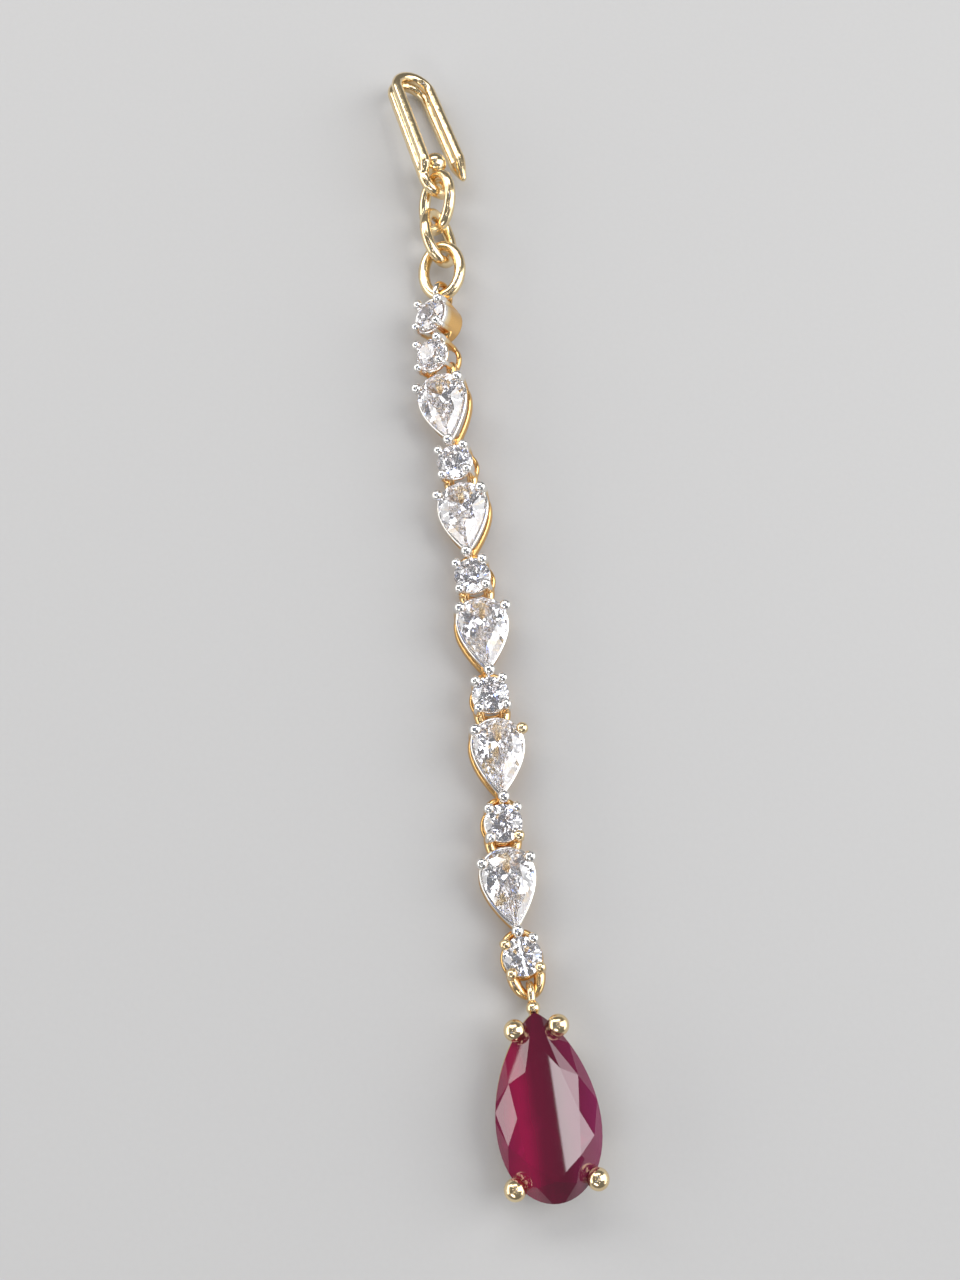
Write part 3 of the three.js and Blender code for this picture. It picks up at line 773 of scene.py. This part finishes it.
def cut_stone(stone, table_width, table_length):
    """A cut stone: table, stars, kites and girdle over a keeled pavilion, as the hull of its corners."""
    step = pi / MAIN_FACETS
    lean = cos(step)
    half = stone.girdle / 2
    middle = Vector((0, widest(stone), 0))
    bm = bmesh.new()

    def corner(angle, share, z):
        place = middle.lerp(outline(stone.width, stone.length, stone.point, angle), share)
        bm.verts.new((place.x, place.y, z))

    corner(0, 0, -half - stone.pavilion)
    for k in range(MAIN_FACETS):
        on_main, between = 2 * k * step, (2 * k + 1) * step
        shares = [1 / hypot(cos(a) / table_length, sin(a) / table_width) for a in (on_main, between)]
        corner(on_main, shares[0], half + stone.crown)
        corner(between, STAR_SHARE, half + stone.crown * (1 - STAR_SHARE * lean) / (1 - shares[1]))
        corner(between, KEEL_SHARE, -half - stone.pavilion * (1 - KEEL_SHARE * lean))
    for k in range(GIRDLE_STEPS):
        for side in (1, -1):
            corner(2 * pi * k / GIRDLE_STEPS, 1, side * half)
    hull = bmesh.ops.convex_hull(bm, input=bm.verts)
    inside = {g for g in hull["geom_interior"] if isinstance(g, bmesh.types.BMVert)}
    bmesh.ops.delete(bm, geom=list(inside))
    bmesh.ops.dissolve_limit(bm, angle_limit=radians(FLAT_ANGLE), verts=bm.verts, edges=bm.edges)
    bmesh.ops.recalc_face_normals(bm, faces=bm.faces)
    mesh = bpy.data.meshes.new("cut_stone")
    bm.to_mesh(mesh)
    bm.free()
    return mesh


class TIKKA_OT_stones(bpy.types.Operator):
    """Give the cut stones their clear and crimson bodies"""

    bl_idname = "tikka.stones"
    bl_label = "Cut Stones"

    def execute(self, context):
        finish = context.scene.tikka_finish
        clear = clear_stone(finish)
        crimson = crimson_stone(finish)
        for name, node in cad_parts.items():
            if "_stone" in name and name != "drop_stone":
                node.data.materials.clear()
                node.data.materials.append(clear)
        placing = row_frames()["drop_setting"] @ Matrix.Translation((0, 0, DROP_RIM))
        mesh = cut_stone(DROP, *DROP_TABLE)
        stone = finished("cut_drop_stone", mesh, placing, crimson, "crimson_stone", "drop_stone")
        stone.data.shade_flat()
        return {"FINISHED"}


# Materials

# How far worn gold goes toward the deep gold, and how dark the table's grain is
WORN_DEPTH = 0.45
GRAIN_SHADE = 0.96

# Tints of the clear stones, coloured glints painted into their body colour in place of their fire: where
# each starts on the ramp of chances, and its colour
PAINTED_FIRE_TINTS = ((0.8, (0.72, 0.8, 1.0)), (0.88, (0.86, 0.78, 1.0)), (0.94, (1.0, 0.93, 0.8)))

# Painted shade and light across the crimson stone, darker along its middle and paler toward one edge as its
# refraction shades it: place, strength and added violet
PAINTED_CRIMSON_SHADING = (
    (0.0, 0.75, 0.02),
    (1.0, 0.8, 0.05),
    (0.24, 1.15, 0.005),
    (0.42, 0.52, 0.004),
    (0.6, 0.42, 0.004),
    (0.76, 0.6, 0.02),
)


def new_material(name):
    """A new material with its node tree and its shader."""
    material = bpy.data.materials.new(name)
    material.use_nodes = True
    tree = material.node_tree
    shader = tree.nodes["Principled BSDF"]
    return material, tree, shader


def add_node(tree, kind, **values):
    """A new node with some of its properties set."""
    node = tree.nodes.new(kind)
    for key, value in values.items():
        setattr(node, key, value)
    return node


def scaled_place(tree, scale):
    """Object coordinates in millimetres, times a scale."""
    place = add_node(tree, "ShaderNodeTexCoord")
    mapping = add_node(tree, "ShaderNodeMapping")
    mapping.inputs["Scale"].default_value = 3 * (scale / MM,)
    tree.links.new(place.outputs["Object"], mapping.inputs["Vector"])
    return mapping.outputs["Vector"]


def polish_group():
    """Hand polish: uneven gloss, fine rubbing marks and small dents. Shared by both metals."""
    name = "Hand Polish"
    if name in bpy.data.node_groups:
        return bpy.data.node_groups[name]
    group = bpy.data.node_groups.new(name, "ShaderNodeTree")
    for socket, kind, default in (
        ("Vector", "NodeSocketVector", None),
        ("Roughness", "NodeSocketFloat", 0.13),
        ("Unevenness", "NodeSocketFloat", 0.12),
    ):
        made = group.interface.new_socket(socket, in_out="INPUT", socket_type=kind)
        if default is not None:
            made.default_value = default
    for socket in ("Roughness", "Height", "Wear"):
        group.interface.new_socket(socket, in_out="OUTPUT", socket_type="NodeSocketFloat")
    start = add_node(group, "NodeGroupInput")
    end = add_node(group, "NodeGroupOutput")
    link = group.links.new

    cloud = add_node(group, "ShaderNodeTexNoise")
    cloud.inputs["Scale"].default_value = 1.6
    cloud.inputs["Detail"].default_value = 4
    link(start.outputs["Vector"], cloud.inputs["Vector"])
    rub_place = add_node(group, "ShaderNodeMapping")
    rub_place.inputs["Scale"].default_value = (14, 2.2, 14)
    link(start.outputs["Vector"], rub_place.inputs["Vector"])
    rub = add_node(group, "ShaderNodeTexNoise")
    rub.inputs["Scale"].default_value = 1.0
    rub.inputs["Detail"].default_value = 3
    link(rub_place.outputs["Vector"], rub.inputs["Vector"])

    spread = add_node(group, "ShaderNodeMapRange")
    spread.inputs["From Min"].default_value = 0.3
    spread.inputs["From Max"].default_value = 0.75
    link(cloud.outputs["Fac"], spread.inputs["Value"])
    uneven = add_node(group, "ShaderNodeMath", operation="MULTIPLY_ADD")
    link(spread.outputs["Result"], uneven.inputs[0])
    link(start.outputs["Unevenness"], uneven.inputs[1])
    link(start.outputs["Roughness"], uneven.inputs[2])
    link(uneven.outputs["Value"], end.inputs["Roughness"])

    dents = add_node(group, "ShaderNodeTexNoise")
    dents.inputs["Scale"].default_value = 0.9
    link(start.outputs["Vector"], dents.inputs["Vector"])
    rub_height = add_node(group, "ShaderNodeMath", operation="MULTIPLY")
    rub_height.inputs[1].default_value = 0.16
    link(rub.outputs["Fac"], rub_height.inputs[0])
    height = add_node(group, "ShaderNodeMath", operation="ADD")
    link(dents.outputs["Fac"], height.inputs[0])
    link(rub_height.outputs["Value"], height.inputs[1])
    link(height.outputs["Value"], end.inputs["Height"])
    link(spread.outputs["Result"], end.inputs["Wear"])
    return group


def polished(tree, shader, roughness, unevenness, depth):
    """Adds the hand polish to a metal. Its wear mask comes back for the colour."""
    polish = add_node(tree, "ShaderNodeGroup", node_tree=polish_group())
    tree.links.new(scaled_place(tree, 1.0), polish.inputs["Vector"])
    polish.inputs["Roughness"].default_value = roughness
    polish.inputs["Unevenness"].default_value = unevenness
    bump = add_node(tree, "ShaderNodeBump")
    bump.inputs["Strength"].default_value = 0.5
    bump.inputs["Distance"].default_value = depth * MM
    tree.links.new(polish.outputs["Height"], bump.inputs["Height"])
    tree.links.new(polish.outputs["Roughness"], shader.inputs["Roughness"])
    tree.links.new(bump.outputs["Normal"], shader.inputs["Normal"])
    shader.inputs["Metallic"].default_value = 1.0
    return polish.outputs["Wear"]


def mixed(tree, factor, first, second):
    """A colour between two, each a plain colour or a socket."""
    mix = add_node(tree, "ShaderNodeMix", data_type="RGBA")
    tree.links.new(factor, mix.inputs["Factor"])
    for socket, value in (("A", first), ("B", second)):
        target = next(s for s in mix.inputs if s.name == socket and s.type == "RGBA")
        if isinstance(value, bpy.types.NodeSocket):
            tree.links.new(value, target)
        else:
            target.default_value = (*value, 1)
    return next(s for s in mix.outputs if s.type == "RGBA")


def gold_colour(tree, finish, wear):
    """Bright gold where it is handled, and deeper gold where polish doesn't reach."""
    worn = [a + WORN_DEPTH * (b - a) for a, b in zip(finish.gold, finish.deep_gold)]
    return mixed(tree, wear, finish.gold, worn)


def gold_metal(finish):
    name = "Polished Gold"
    if name in bpy.data.materials:
        return bpy.data.materials[name]
    material, tree, shader = new_material(name)
    wear = polished(tree, shader, finish.polish, unevenness=0.1, depth=0.07)
    tree.links.new(gold_colour(tree, finish, wear), shader.inputs["Base Color"])
    return material


def two_tone_metal(finish):
    """White plating over gold, worn through along an uneven line."""
    name = "Plated Gold"
    if name in bpy.data.materials:
        return bpy.data.materials[name]
    material, tree, shader = new_material(name)
    wear = polished(tree, shader, finish.polish, unevenness=0.1, depth=0.02)
    plating = add_node(tree, "ShaderNodeAttribute", attribute_name="plating")
    ragged = add_node(tree, "ShaderNodeMath", operation="MULTIPLY_ADD")
    tree.links.new(wear, ragged.inputs[0])
    ragged.inputs[1].default_value = -0.12
    tree.links.new(plating.outputs["Fac"], ragged.inputs[2])
    # Deep gold at the bottom of each basket, turning to the brighter gold higher up: darker towards the
    # bottom
    depth = add_node(tree, "ShaderNodeMapRange", interpolation_type="SMOOTHSTEP")
    depth.inputs["From Min"].default_value = 0.15
    depth.inputs["From Max"].default_value = 0.55
    tree.links.new(plating.outputs["Fac"], depth.inputs["Value"])
    gold = mixed(tree, depth.outputs["Result"], finish.deep_gold, gold_colour(tree, finish, wear))
    edge = add_node(tree, "ShaderNodeMapRange", interpolation_type="SMOOTHSTEP")
    edge.inputs["From Min"].default_value = 0.5
    edge.inputs["From Max"].default_value = 0.72
    tree.links.new(ragged.outputs["Value"], edge.inputs["Value"])
    colour = mixed(tree, edge.outputs["Result"], gold, finish.white)
    tree.links.new(colour, shader.inputs["Base Color"])
    return material


def clear_stone(finish):
    """Clear brilliant stone with faint coloured glints painted into its body colour from facet to facet, in
    place of its fire.
    """
    material, tree, shader = new_material("Clear Brilliant")
    # Painted fire: cells of bluish, lilac and warm tint stand in for the coloured flashes of dispersion
    painted_fire = add_node(tree, "ShaderNodeTexVoronoi", feature="F1")
    tree.links.new(scaled_place(tree, 2.1), painted_fire.inputs["Vector"])
    painted_glint_hues = add_node(tree, "ShaderNodeValToRGB")
    ramp = painted_glint_hues.color_ramp
    ramp.interpolation = "CONSTANT"
    ramp.elements[0].color = (*finish.clear, 1)
    ramp.elements.remove(ramp.elements[1])
    for position, tint in PAINTED_FIRE_TINTS:
        ramp.elements.new(position).color = (*tint, 1)
    split = add_node(tree, "ShaderNodeSeparateColor")
    tree.links.new(painted_fire.outputs["Color"], split.inputs["Color"])
    tree.links.new(split.outputs["Red"], painted_glint_hues.inputs["Fac"])
    tree.links.new(painted_glint_hues.outputs["Color"], shader.inputs["Base Color"])
    shader.inputs["Roughness"].default_value = 0.05
    shader.inputs["IOR"].default_value = 2.17
    shader.inputs["Transmission Weight"].default_value = 1.0
    return material


def crimson_stone(finish):
    """Deep crimson stone, a little milky inside, with painted shade darker along its middle and painted
    light paler toward one edge.
    """
    material, tree, shader = new_material("Crimson Gem")
    middle = row_frames()["drop_setting"].to_translation()
    place = add_node(tree, "ShaderNodeTexCoord")
    across = add_node(tree, "ShaderNodeMapping", vector_type="TEXTURE")
    across.inputs["Location"].default_value = middle
    across.inputs["Rotation"].default_value = (0, 0, radians(DROP_HEADING))
    across.inputs["Scale"].default_value = 3 * (MM * DROP.width,)
    tree.links.new(place.outputs["Object"], across.inputs["Vector"])
    silk = add_node(tree, "ShaderNodeTexNoise")
    silk.inputs["Scale"].default_value = 1.6
    silk.inputs["Detail"].default_value = 2
    tree.links.new(across.outputs["Vector"], silk.inputs["Vector"])
    split = add_node(tree, "ShaderNodeSeparateXYZ")
    tree.links.new(across.outputs["Vector"], split.inputs["Vector"])
    drift = add_node(tree, "ShaderNodeMath", operation="MULTIPLY_ADD")
    tree.links.new(silk.outputs["Fac"], drift.inputs[0])
    drift.inputs[1].default_value = 0.16
    tree.links.new(split.outputs["X"], drift.inputs[2])
    # Painted shade and light: the stone's colour is darkened along its middle and lightened toward one
    # edge, standing in for the shading of its refraction
    band = add_node(tree, "ShaderNodeMapRange")
    band.inputs["From Min"].default_value = -0.42
    band.inputs["From Max"].default_value = 0.58
    tree.links.new(drift.outputs["Value"], band.inputs["Value"])
    depth = add_node(tree, "ShaderNodeValToRGB")
    ramp = depth.color_ramp
    ramp.interpolation = "EASE"
    red, green, blue = finish.crimson
    for k, (position, share, violet) in enumerate(PAINTED_CRIMSON_SHADING):
        element = ramp.elements[k] if k < 2 else ramp.elements.new(position)
        element.position = position
        element.color = (red * share, green * share + violet / 6, blue * share + violet, 1)
    tree.links.new(band.outputs["Result"], depth.inputs["Fac"])
    tree.links.new(depth.outputs["Color"], shader.inputs["Base Color"])
    shader.inputs["Roughness"].default_value = 0.02
    shader.inputs["IOR"].default_value = 1.77
    shader.inputs["Transmission Weight"].default_value = 0.4
    return material


def floor_material(stage):
    """Pale matt board with a faint tooth."""
    material, tree, shader = new_material("Pale Board")
    grain = add_node(tree, "ShaderNodeTexNoise")
    grain.inputs["Scale"].default_value = 2.5
    grain.inputs["Detail"].default_value = 5
    tree.links.new(scaled_place(tree, 1.0), grain.inputs["Vector"])
    shade = [GRAIN_SHADE * c for c in stage.floor]
    colour = mixed(tree, grain.outputs["Fac"], stage.floor, shade)
    tree.links.new(colour, shader.inputs["Base Color"])
    bump = add_node(tree, "ShaderNodeBump")
    bump.inputs["Strength"].default_value = 0.25
    bump.inputs["Distance"].default_value = 0.02 * MM
    tree.links.new(grain.outputs["Fac"], bump.inputs["Height"])
    tree.links.new(bump.outputs["Normal"], shader.inputs["Normal"])
    shader.inputs["Roughness"].default_value = 0.75
    return material


# Stage

# Where the middle of the photograph's view meets the table, and the lens, in the photograph's pixels
VIEW_MIDDLE = Vector((-0.00025, -0.00607, 0))
FOCAL_PIXELS = 1300
IMAGE_HEIGHT = 1280
SENSOR = 36
STONE_BOUNCES = 24
TABLE_HALF = 0.25
ROOM_COLOUR = (0.93, 0.95, 1.0)
WALL_COLOUR = (0.60, 0.60, 0.60)

# Soft lights: place, the point each faces, width and height, share of the key power, and colour
WHITE = (1, 1, 1)
SOFT_LIGHTS = {
    "key": ((0.28, 0.03, 0.28), (0.02, 0, 0), (0.26, 0.30), 1.1, WHITE),
    "left": ((-0.30, -0.02, 0.09), (0, -0.03, 0), (0.40, 0.12), 0.5, (1, 0.98, 0.95)),
    "right": ((0.34, -0.03, 0.09), (0, -0.04, 0), (0.48, 0.13), 0.5, WHITE),
    "back": ((-0.03, 0.26, 0.29), (0, 0.01, 0), (0.30, 0.12), 0.5, WHITE),
    "back left": ((-0.22, 0.20, 0.20), (0, 0.03, 0), (0.10, 0.20), 0.3, WHITE),
    "front": ((-0.10, -0.26, 0.18), (0, -0.02, 0), (0.16, 0.05), 0.2, WHITE),
}

# A ring of small lights, near and far by turns, that makes the stones glitter
SPARKS = 9
SPARK_START = 0.3
SPARK_REACHES = (0.10, 0.18)
SPARK_RING_Y = -0.03
SPARK_HEIGHT = 0.28
SPARK_SIZE = 0.016
SPARK_COLOURS = (WHITE, (1, 0.97, 0.93), (0.3, 0.42, 1))

# The narrow light over the drop, which its table mirrors as a pale band
STRIP_PLACE = (0.025, -0.0526, 0.3045)
STRIP_SIZE = (0.0066, 0.10)
STRIP_TURN = 8


def studio_world(stage):
    """Dim even room light. The camera itself sees a pale wall behind the table."""
    world = bpy.data.worlds.new("Studio")
    world.use_nodes = True
    tree = world.node_tree
    room = tree.nodes["Background"]
    room.inputs["Color"].default_value = (*ROOM_COLOUR, 1)
    room.inputs["Strength"].default_value = stage.sky
    wall = add_node(tree, "ShaderNodeBackground")
    wall.inputs["Color"].default_value = (*WALL_COLOUR, 1)
    seen = add_node(tree, "ShaderNodeLightPath")
    mix = add_node(tree, "ShaderNodeMixShader")
    tree.links.new(seen.outputs["Is Camera Ray"], mix.inputs["Fac"])
    tree.links.new(room.outputs["Background"], mix.inputs[1])
    tree.links.new(wall.outputs["Background"], mix.inputs[2])
    tree.links.new(mix.outputs["Shader"], tree.nodes["World Output"].inputs["Surface"])
    return world


def soft_light(name, place, aim, size, power, colour=WHITE):
    """A rectangular light, turned to face a point."""
    light = bpy.data.lights.new(name, "AREA")
    light.shape = "RECTANGLE"
    light.size, light.size_y = size
    light.energy = power
    light.color = colour
    holder = bpy.data.objects.new(name, light)
    bpy.context.scene.collection.objects.link(holder)
    holder.location = place
    holder.rotation_euler = (Vector(aim) - Vector(place)).to_track_quat("-Z", "Y").to_euler()
    return holder


class TIKKA_OT_stage(bpy.types.Operator):
    """Lay the table and set the lights and the camera"""

    bl_idname = "tikka.stage"
    bl_label = "Stage"

    def execute(self, context):
        stage = context.scene.tikka_stage
        bm = bmesh.new()
        bmesh.ops.create_grid(bm, x_segments=1, y_segments=1, size=TABLE_HALF)
        mesh = bpy.data.meshes.new("table")
        bm.to_mesh(mesh)
        bm.free()
        mesh.materials.append(floor_material(stage))
        table = bpy.data.objects.new("table", mesh)
        context.scene.collection.objects.link(table)

        context.scene.world = studio_world(stage)
        for name, (place, aim, size, share, colour) in SOFT_LIGHTS.items():
            soft_light(name, place, aim, size, stage.key * share, colour)
        for k in range(SPARKS):
            turn = 2 * pi * (k + SPARK_START) / SPARKS
            reach = SPARK_REACHES[k % len(SPARK_REACHES)]
            place = (reach * cos(turn), reach * sin(turn) + SPARK_RING_Y, SPARK_HEIGHT)
            colour = SPARK_COLOURS[k % len(SPARK_COLOURS)]
            soft_light(f"spark_{k}", place, (0, 0, 0), (SPARK_SIZE, SPARK_SIZE), stage.spark, colour)
        strip = soft_light("strip", STRIP_PLACE, (*STRIP_PLACE[:2], 0), STRIP_SIZE, stage.strip)
        strip.rotation_euler = (0, 0, radians(STRIP_TURN))

        lens = bpy.data.cameras.new("camera")
        lens.sensor_fit = "VERTICAL"
        lens.sensor_height = SENSOR
        lens.lens = SENSOR * FOCAL_PIXELS / IMAGE_HEIGHT
        lens.clip_start = 0.005
        lens.clip_end = 5
        camera = bpy.data.objects.new("camera", lens)
        context.scene.collection.objects.link(camera)
        tilt = stage.camera_tilt
        camera.location = VIEW_MIDDLE + stage.camera_height * Vector((0, -sin(tilt), cos(tilt)))
        camera.rotation_euler = (tilt, 0, 0)
        context.scene.camera = camera

        context.scene.view_settings.view_transform = "Standard"
        cycles = context.scene.cycles
        cycles.max_bounces = STONE_BOUNCES
        cycles.glossy_bounces = STONE_BOUNCES
        cycles.transmission_bounces = STONE_BOUNCES
        return {"FINISHED"}


class TIKKA_PT_panel(bpy.types.Panel):
    """Lists the steps and their sizes"""

    bl_idname = "TIKKA_PT_panel"
    bl_label = "Maang Tikka"
    bl_space_type = "VIEW_3D"
    bl_region_type = "UI"
    bl_category = "Tikka"

    def draw(self, context):
        layout = self.layout
        for group in ("tikka_mesh", "tikka_finish", "tikka_stage"):
            settings = getattr(context.scene, group)
            box = layout.box()
            for name in settings.__annotations__:
                box.prop(settings, name)
        for step in STEPS:
            layout.operator(step)


STEPS = ("tikka.settings", "tikka.drop", "tikka.links", "tikka.hook", "tikka.stones", "tikka.stage")
CLASSES = (
    TikkaFinish,
    TikkaMesh,
    TikkaStage,
    TIKKA_OT_settings,
    TIKKA_OT_drop,
    TIKKA_OT_links,
    TIKKA_OT_hook,
    TIKKA_OT_stones,
    TIKKA_OT_stage,
    TIKKA_PT_panel,
)


def register():
    for cls in CLASSES:
        bpy.utils.register_class(cls)
    bpy.types.Scene.tikka_finish = PointerProperty(type=TikkaFinish)
    bpy.types.Scene.tikka_mesh = PointerProperty(type=TikkaMesh)
    bpy.types.Scene.tikka_stage = PointerProperty(type=TikkaStage)


def unregister():
    del bpy.types.Scene.tikka_stage
    del bpy.types.Scene.tikka_mesh
    del bpy.types.Scene.tikka_finish
    for cls in reversed(CLASSES):
        bpy.utils.unregister_class(cls)


def main():
    register()
    bpy.ops.tikka.settings()
    bpy.ops.tikka.drop()
    bpy.ops.tikka.links()
    bpy.ops.tikka.hook()
    bpy.ops.tikka.stones()
    bpy.ops.tikka.stage()


if __name__ == "__main__":
    main()
